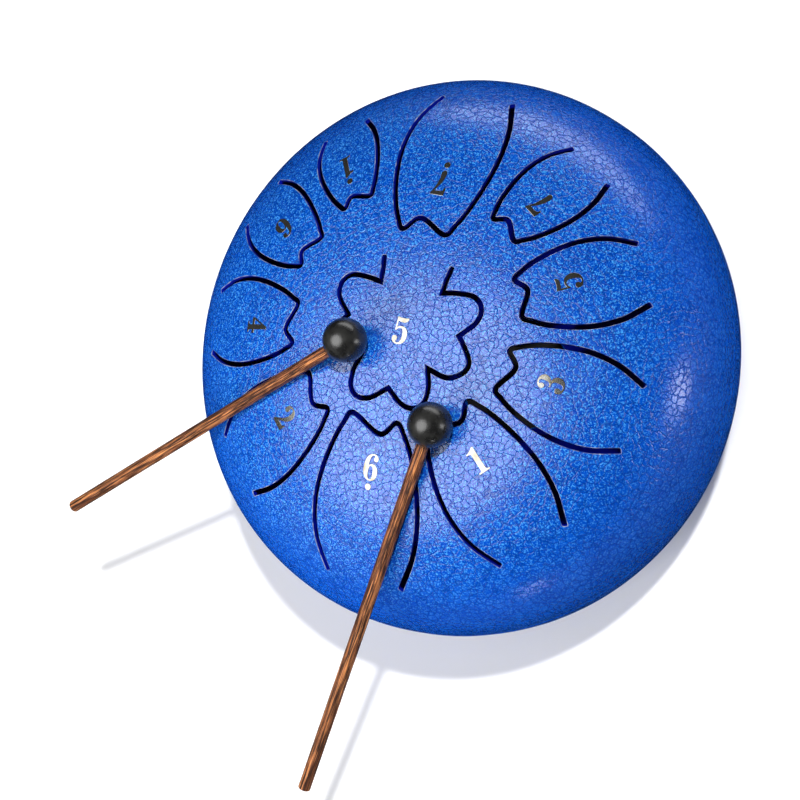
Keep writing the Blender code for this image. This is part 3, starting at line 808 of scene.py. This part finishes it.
def make_marks(foil):
    digits = {name: (digit, dot) for name, digit, dot, *_ in RING_NOTES}
    digits[CENTRE_NOTE] = (CENTRE_DIGIT, 0)
    disc = circle(DOT_SEGMENTS) * DOT_RADIUS
    for note, (azimuth, radius) in MARK_PLACES.items():
        digit, dot = digits[note]
        spot, axes = mark_axes(azimuth, radius * MM, note == CENTRE_NOTE)
        outlines = [glyph_outline(path) @ axes + spot for path in GLYPHS[digit]]
        make_mark(f"digit_{note}", f"mark_{note}", note, outlines, foil)
        if dot:
            offset = np.array((0, dot * (DIGIT_HEIGHT / 2 + DOT_SPACE)))
            outline = (disc + offset) @ axes + spot
            make_mark(f"dot_{note}", f"octave_dot_{note}", note, [outline], foil)


# --- feet ---
def underside(x, y):
    return -float(profile_height(sqrt(x * x + y * y), BASE_DEPTH))


def slice_profile(low, high, height):
    """(radius, lift, surface that it is lifted from) of a soft-edged slice."""
    bevel = min(FOOT_BEVEL, height * BEVEL_SHARE)
    turns = np.linspace(0, pi / 2, BEVEL_POINTS)
    top = [(FOOT_RADIUS - bevel * (1 - sin(t)), -bevel * (1 - cos(t)), high) for t in turns]
    bottom = [(FOOT_RADIUS - bevel * (1 - cos(t)), bevel * (1 - sin(t)), low) for t in turns]
    half = FOOT_RADIUS / 2
    return [(0, 0, high), (half, 0, high), *top, *bottom, (half, 0, low), (0, 0, low)]


def make_slice(name, node, material, centre, low, high):
    """Round upright piece with soft edges between two surfaces."""
    shape = Shape()
    rings = []
    for reach, lift, surface in slice_profile(low, high, high(*centre) - low(*centre)):
        spots = circle(FOOT_SEGMENTS) * reach + centre if reach else [centre]
        points = [(x, y, surface(x, y) + lift) for x, y in spots]
        rings.append((shape.add_points(points), len(points)))
    for upper, lower in zip(rings, rings[1:]):
        shape.add_faces(between_rings(upper, lower, FOOT_SEGMENTS), OUTSIDE)
    piece = shape.piece(name, (material,))
    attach(piece, "drum")
    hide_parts(node)


def tape_bottom(x, y):
    return underside(x, y) - ADHESIVE


def ground(x, y):
    return -CENTRE.z


def make_feet(rubber, tape):
    for name, azimuth in FOOT_AZIMUTHS.items():
        centre = turned(np.array(((FOOT_CIRCLE, 0.0),)), azimuth)[0]
        make_slice(
            f"foot_tape_{name}", f"adhesive_disc_{name}", tape, centre,
            tape_bottom, underside,
        )
        make_slice(
            f"foot_pad_{name}", f"rubber_foot_{name}", rubber, centre,
            ground, tape_bottom,
        )


# --- mallets ---
def ball_profile():
    """From the bore's bottom out through its mouth and round the ball."""
    bore = STICK_RADIUS + BORE_PLAY
    mouth = bore + BORE_LIP
    edge = sqrt(BALL_RADIUS ** 2 - mouth ** 2)
    lip = [
        (mouth - BORE_LIP * cos(t), edge - BORE_LIP * (1 - sin(t)) * LIP_DROP)
        for t in np.linspace(0, pi / 2, BEVEL_POINTS)
    ]
    turns = np.linspace(atan2(mouth, edge), pi, BALL_POINTS)[1:-1]
    face = [(BALL_RADIUS * sin(t), BALL_RADIUS * cos(t)) for t in turns]
    return [(0.0, -BORE_DEPTH), (bore, -BORE_DEPTH), *lip, *face, (0.0, -BALL_RADIUS)]


def stick_profile():
    start = -BORE_DEPTH + BORE_GAP
    corners = [
        (0.0, STICK_REACH), (STICK_RADIUS, STICK_REACH), (STICK_RADIUS, start), (0.0, start),
    ]
    ends = rounded(corners, STICK_CHAMFER)
    straight = [(STICK_RADIUS, z) for z in np.linspace(STICK_REACH, start, STICK_POINTS)[1:-1]]
    half = len(ends) // 2
    return ends[:half] + straight + ends[half:]


def mallet_place(x, y, heading, droop):
    """Place of a mallet whose ball rests on the dome at this plan point, its
    stick along its own z axis."""
    reach = np.hypot(x, y) * MM
    lift = (BALL_RADIUS + MALLET_GAP) / profile_normal(reach, DOME_HEIGHT)[1]
    height = float(profile_height(reach, DOME_HEIGHT) + lift)
    place = Matrix.Translation(CENTRE + Vector((x * MM, y * MM, height)))
    place @= Matrix.Rotation(radians(heading), 4, 'Z')
    return place @ Matrix.Rotation(radians(90 + droop), 4, 'Y')


def make_mallets(rubber, wood, end_grain):
    profile = stick_profile()
    slots = [END_GRAIN if a[1] == b[1] else WOOD for a, b in zip(profile, profile[1:])]
    for name, x, y, heading, droop in MALLETS:
        place = mallet_place(x, y, heading, droop)
        head = turned_shape(ball_profile(), BALL_SEGMENTS).piece(f"ball_{name}", (rubber,))
        shape = turned_shape(profile, STICK_SEGMENTS, False, slots)
        stick = shape.piece(f"stick_{name}", (wood, end_grain))
        for piece, node, slot in ((head, "head", "rubber"), (stick, "stick", "stick_wood")):
            piece.data.transform(Matrix.Translation(-CENTRE))
            piece.matrix_world = place
            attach(piece, f"mallet_{name}")
            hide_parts(f"mallet_{node}_{name}")


# --- materials ---
CRACKLE = 2.0 * MM  # size of one of its cells
CRACKLE_DEPTH = 0.045 * MM
CRACKLE_WARP = 2.2 * MM
CRACKLE_WARP_SIZE = 2.0 * MM
GLINT = 0.50 * MM  # size of the paint's finest bumps
# Painted glints fade towards the rim: (metres from the axis, share of the pale flecks)
PAINTED_GLINT_FADE = ((0.060, 1.0), (0.073, 0.30))  # (metres from the axis, sparkle)
PAINT_MOTTLE = 7.0 * MM
# Painted shade: darker blue in the crackle's creases and on the slits' edges between their
# painted highlights
PAINT_SHADED_DEEP = (0.0, 0.040, 0.29)
PAINT_BLUE = (0.0, 0.052, 0.42)
PAINT_LIGHT = (0.0, 0.070, 0.49)
# Colour of the pale flecks, partly the enamel's own and partly painted glints
PAINTED_GLINT_BLUE = (0.055, 0.350, 0.84)
# The slits' rounded edges: a pale line painted on as a highlight, broken up by a noise of this
# size
EDGE_HIGHLIGHT_BREAKUP = 2.0 * MM
EDGE_PAINTED_HIGHLIGHT = (0.33, 0.37, 0.45)
# Painted shade: a darker blue for the inner faces and down the slits' walls, where the drum's
# inside is dark
INSIDE_MOTTLE = 4.0 * MM
INSIDE_SHADE_BLUE = (0.0, 0.003, 0.20)
INSIDE_SHADE_LIGHTER = (0.001, 0.006, 0.30)
FOIL_WEAR = 3.0 * MM
FOIL_CRINKLE = 0.7 * MM
FOIL_SILVER = (0.42, 0.42, 0.39)
FOIL_WORN = (0.27, 0.235, 0.16)
RUBBER_DUST = 2.5 * MM
RUBBER_PITS = 0.25 * MM
RUBBER_BLACK = (0.010, 0.010, 0.010)
RUBBER_DUSTY = (0.028, 0.028, 0.026)
TAPE_FOAM = 0.35 * MM
TAPE_GREY = (0.55, 0.55, 0.50)
TAPE_WHITE = (0.80, 0.80, 0.76)
WOOD_BANDS = 0.55 * MM
WOOD_PORES = 0.24 * MM
WOOD_RINGS = 3.5 * MM
WOOD_SPECKS = 0.3 * MM
WOOD_DARK = (0.028, 0.010, 0.005)
WOOD_BROWN = (0.19, 0.056, 0.020)
WOOD_ORANGE = (0.66, 0.255, 0.08)
# Places of the colour sockets among a Mix node's
MIX_A = 6
MIX_B = 7
MIX_RESULT = 2
NO_INPUTS = {}


class Recipe:
    """A new material's nodes, with short calls to add and join them."""

    def __init__(self, name, roughness, metallic=0.0, specular=0.5):
        self.material = bpy.data.materials.new(name)
        self.material.use_nodes = True
        self.tree = self.material.node_tree
        self.shader = self.tree.nodes["Principled BSDF"]
        gloss = {"Roughness": roughness, "Metallic": metallic, "Specular IOR Level": specular}
        self.fill(self.shader, gloss)
        self.place = self.node("ShaderNodeTexCoord").outputs["Object"]

    def fill(self, node, inputs):
        """Give each of these inputs its value, or join it to its output."""
        for name, value in inputs.items():
            if isinstance(value, bpy.types.NodeSocket):
                self.tree.links.new(value, node.inputs[name])
            else:
                node.inputs[name].default_value = value

    def node(self, kind, inputs=NO_INPUTS, **settings):
        node = self.tree.nodes.new(kind)
        for name, value in settings.items():
            setattr(node, name, value)
        self.fill(node, inputs)
        return node

    def stretched(self, scale):
        inputs = {"Vector": self.place, "Scale": scale}
        return self.node("ShaderNodeMapping", inputs).outputs["Vector"]

    def noise(self, size, detail=3.0, roughness=0.5, vector=None, output="Fac"):
        inputs = {
            "Vector": vector or self.place, "Scale": 1 / size,
            "Detail": detail, "Roughness": roughness,
        }
        return self.node("ShaderNodeTexNoise", inputs).outputs[output]

    def cells(self, vector, size, feature):
        inputs = {"Vector": vector, "Scale": 1 / size}
        return self.node("ShaderNodeTexVoronoi", inputs, feature=feature).outputs["Distance"]

    def vector_maths(self, operation, inputs, output="Vector"):
        return self.node("ShaderNodeVectorMath", inputs, operation=operation).outputs[output]

    def warped(self, size, reach):
        """The object's coordinates pushed about by a noise."""
        colour = self.noise(size, output="Color")
        centred = self.vector_maths('SUBTRACT', {0: colour, 1: (0.5, 0.5, 0.5)})
        push = self.vector_maths('SCALE', {0: centred, "Scale": reach})
        return self.vector_maths('ADD', {0: self.place, 1: push})

    def reach(self):
        """Level distance from the drum's axis."""
        axis = (-CENTRE.x, -CENTRE.y, 0)
        level = self.vector_maths('MULTIPLY_ADD', {0: self.place, 1: (1, 1, 0), 2: axis})
        return self.vector_maths('LENGTH', {0: level}, "Value")

    def maths(self, operation, a, b):
        return self.node("ShaderNodeMath", {0: a, 1: b}, operation=operation).outputs["Value"]

    def ramp(self, value, stops):
        """Colours, or grey levels, at places from 0 to 1."""
        node = self.node("ShaderNodeValToRGB", {"Fac": value})
        steps = node.color_ramp.elements
        while len(steps) < len(stops):
            steps.new(0.5)
        for step, (place, colour) in zip(steps, stops):
            step.position = place
            step.color = (*colour, 1) if isinstance(colour, tuple) else (*[colour] * 3, 1)
        return node.outputs["Color"]

    def levels(self, value, low, high):
        """A 0 to 1 value spread from low to high."""
        inputs = {"Value": value, "To Min": low, "To Max": high}
        return self.node("ShaderNodeMapRange", inputs).outputs["Result"]

    def mixed(self, share, a, b):
        """Colour a turned into b by the share. Each is an output or a colour."""
        a, b = ((*side, 1) if isinstance(side, tuple) else side for side in (a, b))
        inputs = {"Factor": share, MIX_A: a, MIX_B: b}
        return self.node("ShaderNodeMix", inputs, data_type='RGBA').outputs[MIX_RESULT]

    def finished(self, colour, height, depth, roughness=None):
        """The material, with bumps of this depth where the height varies."""
        bump = self.node("ShaderNodeBump", {"Height": height, "Distance": depth})
        looks = {"Base Color": colour, "Normal": bump.outputs["Normal"]}
        if roughness:
            looks["Roughness"] = roughness
        self.fill(self.shader, looks)
        return self.material


def make_paint():
    """Blue enamel with a crackled leather grain: fine bumps under pale flecks, partly the
    enamel's own and partly painted glints, fewer towards the rim, and thin broken creases
    between uneven cells, painted darker as shade."""
    paint = Recipe("blue_enamel", 0.3, specular=1.0)
    vector = paint.warped(CRACKLE_WARP_SIZE, CRACKLE_WARP)
    crease = paint.cells(vector, CRACKLE, 'DISTANCE_TO_EDGE')
    fine = paint.noise(GLINT, 2.0, 0.65)
    broad = paint.noise(PAINT_MOTTLE)
    line = paint.ramp(crease, ((0.0, 0.0), (0.10, 1.0)))
    # Pale flecks, partly the enamel's own and partly painted glints, fewer towards the rim
    painted_glint = paint.ramp(fine, ((0.50, 0.0), (0.64, 1.0)))
    painted_glint = paint.maths('MULTIPLY', painted_glint, paint.ramp(paint.reach(), PAINTED_GLINT_FADE))
    tone = paint.ramp(broad, ((0.35, PAINT_BLUE), (0.65, PAINT_LIGHT)))
    tone = paint.mixed(painted_glint, tone, PAINTED_GLINT_BLUE)
    # Painted shade in the creases between the cells
    tone = paint.mixed(line, PAINT_SHADED_DEEP, tone)
    height = paint.maths('ADD', paint.maths('MULTIPLY', line, 1.2), fine)
    return paint.finished(tone, height, CRACKLE_DEPTH, paint.levels(broad, 0.15, 0.21))


def make_painted_edge_highlight():
    """The slits' rounded edges, with a broken pale line painted on them as a highlight."""
    edge = Recipe("painted_edge_highlight", 0.35)
    wear_and_edge_highlight = edge.noise(EDGE_HIGHLIGHT_BREAKUP, 4.0)
    # Where the noise is high the edge gets its painted highlight
    tone = edge.ramp(wear_and_edge_highlight, ((0.42, PAINT_SHADED_DEEP), (0.66, EDGE_PAINTED_HIGHLIGHT)))
    return edge.finished(tone, wear_and_edge_highlight, 0.02 * MM, edge.levels(wear_and_edge_highlight, 0.3, 0.5))


# Painted shade inside the drum and down the slits: darker than the outside enamel
def make_inside_paint():
    inner = Recipe("inside_shaded_enamel", 0.7, specular=0.15)
    mottle = inner.noise(INSIDE_MOTTLE)
    tone = inner.ramp(mottle, ((0.3, INSIDE_SHADE_BLUE), (0.7, INSIDE_SHADE_LIGHTER)))
    return inner.finished(tone, mottle, 0.05 * MM)


def make_foil():
    """Hot-stamped silver foil, a little crinkled and worn to champagne."""
    foil = Recipe("foil", 0.24, 0.94)
    wear_and_edge_highlight = foil.noise(FOIL_WEAR, 4.0)
    tone = foil.ramp(wear_and_edge_highlight, ((0.45, FOIL_SILVER), (0.75, FOIL_WORN)))
    crinkle = foil.noise(FOIL_CRINKLE, 2.0)
    return foil.finished(tone, crinkle, 0.012 * MM, foil.levels(wear_and_edge_highlight, 0.10, 0.24))


def make_rubber(name, low, high):
    """Black moulded rubber, its gloss uneven and its face faintly pitted."""
    rubber = Recipe(name, low, specular=1.0)
    dust = rubber.noise(RUBBER_DUST, 4.0)
    tone = rubber.ramp(dust, ((0.4, RUBBER_BLACK), (0.8, RUBBER_DUSTY)))
    pits = rubber.noise(RUBBER_PITS, 2.0)
    return rubber.finished(tone, pits, 0.01 * MM, rubber.levels(dust, low, high))


def make_tape():
    tape = Recipe("adhesive_tape", 0.7)
    foam = tape.cells(tape.place, TAPE_FOAM, 'F1')
    tone = tape.ramp(foam, ((0.0, TAPE_GREY), (0.8, TAPE_WHITE)))
    return tape.finished(tone, foam, 0.06 * MM)


def make_wood():
    """Reddish hardwood with dark open pores drawn out along the stick."""
    wood = Recipe("stick_wood", 0.45)
    bands = wood.noise(WOOD_BANDS, 6.0, 0.75, wood.stretched((1, 1, 0.025)))
    pores = wood.noise(WOOD_PORES, 3.0, 0.6, wood.stretched((1, 1, 0.03)))
    pore = wood.ramp(pores, ((0.44, 0.0), (0.53, 1.0)))
    stops = ((0.40, WOOD_DARK), (0.48, WOOD_BROWN), (0.60, WOOD_ORANGE))
    tone = wood.mixed(pore, WOOD_DARK, wood.ramp(bands, stops))
    return wood.finished(tone, pore, 0.06 * MM, wood.levels(bands, 0.35, 0.6))


def make_end_grain():
    """The stick's cut end, its growth rings across the face."""
    grain = Recipe("end_grain", 0.7)
    inputs = {"Vector": grain.stretched((1, 1, 0)), "Scale": 1 / WOOD_RINGS, "Distortion": 3.0}
    rings = grain.node("ShaderNodeTexWave", inputs, wave_type='RINGS', rings_direction='Z')
    tone = grain.ramp(rings.outputs["Fac"], ((0.2, WOOD_BROWN), (0.8, WOOD_ORANGE)))
    specks = grain.noise(WOOD_SPECKS)
    tone = grain.mixed(grain.ramp(specks, ((0.35, 0.0), (0.5, 1.0))), WOOD_DARK, tone)
    return grain.finished(tone, specks, 0.04 * MM)


# --- stage ---
CAMERA_DISTANCE = 0.5425
CAMERA_BACK = Vector((0.40994, -0.05228, 0.91061)).normalized()
CAMERA_LEVEL = radians(11.84)
CAMERA_LENS = 84.9
CAMERA_SENSOR = 36
CAMERA_SHIFT = (-0.0814, -0.0545)
WHITE = (1, 1, 1, 1)
FLOOR_REACH = 6.0
# (metres from the drum's axis, level)
# Painted shade: the floor's colour falls to near black under the drum
FLOOR_PAINTED_SHADE = ((0.045, 0.03), (0.074, 0.94))
FLOOR_GLOW = ((0.050, 0.0), (0.085, 0.11), (0.220, 0.11), (0.700, 1.0))
BACKDROP_LIGHT = 1.0
# name, direction in the camera's axes (right, up, back), distance, width and
# height, watts, and whether it makes gloss or else lights what is matt
LIGHTS = (
    ("shadow_light", (-0.01, 0.335, 0.94), 1.6, (0.08, 0.08), 27, False),
    ("side_fill", (-0.78, -0.60, 0.14), 1.4, (1.2, 1.0), 28, False),
    ("overhead", (-0.30, 0.20, 0.93), 2.4, (2.0, 2.0), 4, False),
    ("softbox", (-0.665, -0.05, 0.745), 1.2, (1.14, 1.25), 12, True),
    ("right_strip", (0.87, -0.1, 0.48), 0.9, (0.20, 0.30), 0.8, True),
    ("low_spark", (0.15, -0.975, 0.125), 0.6, (0.05, 0.05), 0.06, True),
    ("camera_glow", (0.0, 0.10, 1.0), 1.0, (0.20, 0.20), 0.05, True),
    ("top_sheen", (0.14, 0.985, 0.12), 1.2, (1.6, 0.4), 4.0, True),
)


def camera_axes():
    """The camera's right, up and back directions."""
    level = Vector((cos(CAMERA_LEVEL), sin(CAMERA_LEVEL), 0))
    up = CAMERA_BACK.cross(level).normalized()
    return up.cross(CAMERA_BACK), up, CAMERA_BACK


def make_camera():
    data = bpy.data.cameras.new("camera")
    data.lens = CAMERA_LENS
    data.sensor_width = CAMERA_SENSOR
    data.shift_x, data.shift_y = CAMERA_SHIFT
    data.dof.use_dof = False
    camera = bpy.data.objects.new("camera", data)
    bpy.context.scene.collection.objects.link(camera)
    turn = Matrix(camera_axes()).transposed().to_4x4()
    camera.matrix_world = Matrix.Translation(CENTRE + CAMERA_BACK * CAMERA_DISTANCE) @ turn
    bpy.context.scene.camera = camera


def make_floor():
    """White floor that glows a little outside the drum's footprint, is painted dark as shade
    under the drum, and shows the drum's underside to a camera below it."""
    shape = Shape()
    corners = [(-1, -1, 0), (1, -1, 0), (1, 1, 0), (-1, 1, 0)]
    shape.add_points(np.array(corners) * FLOOR_REACH - np.array(CENTRE))
    shape.add_faces([(0, 1, 2, 3)], OUTSIDE)
    white = Recipe("floor_white", 0.9, specular=0.1)
    distance = white.reach()
    glow = {"Emission Color": WHITE, "Emission Strength": white.ramp(distance, FLOOR_GLOW)}
    white.fill(white.shader, {"Base Color": white.ramp(distance, FLOOR_PAINTED_SHADE), **glow})
    below = white.node("ShaderNodeNewGeometry").outputs["Backfacing"]
    clear = white.node("ShaderNodeBsdfTransparent").outputs["BSDF"]
    sides = {"Fac": below, 1: white.shader.outputs["BSDF"], 2: clear}
    both = white.node("ShaderNodeMixShader", sides).outputs["Shader"]
    white.fill(white.tree.nodes["Material Output"], {"Surface": both})
    floor = shape.piece("floor", (white.material,))
    floor.visible_glossy = False


def make_lights():
    axes = camera_axes()
    for name, direction, distance, size, watts, gloss in LIGHTS:
        way = sum((axis * share for axis, share in zip(axes, direction)), Vector())
        way.normalize()
        data = bpy.data.lights.new(name, 'AREA')
        data.shape = 'ELLIPSE'
        data.size, data.size_y = size
        data.energy = watts
        light = bpy.data.objects.new(name, data)
        bpy.context.scene.collection.objects.link(light)
        light.rotation_mode = 'QUATERNION'
        light.rotation_quaternion = way.to_track_quat('Z', 'Y')
        light.location = CENTRE + way * distance
        light.visible_diffuse = not gloss
        light.visible_glossy = gloss


def make_world():
    """White backdrop that lights nothing: the lamps do that."""
    world = bpy.data.worlds.new("studio")
    bpy.context.scene.world = world
    world.use_nodes = True
    background = world.node_tree.nodes["Background"]
    background.inputs["Color"].default_value = WHITE
    background.inputs["Strength"].default_value = BACKDROP_LIGHT
    world.cycles_visibility.diffuse = False
    world.cycles_visibility.glossy = False


def build():
    paint = make_paint()
    inside_paint = make_inside_paint()
    make_upper_shell(paint, inside_paint, make_painted_edge_highlight())
    make_lower_shell(paint, inside_paint)
    make_weld(paint, inside_paint)
    make_marks(make_foil())
    make_feet(make_rubber("foot_rubber", 0.5, 0.8), make_tape())
    make_mallets(make_rubber("ball_rubber", 0.22, 0.34), make_wood(), make_end_grain())
    make_camera()
    make_floor()
    make_lights()
    make_world()
    bpy.context.scene.view_settings.view_transform = 'Standard'


build()
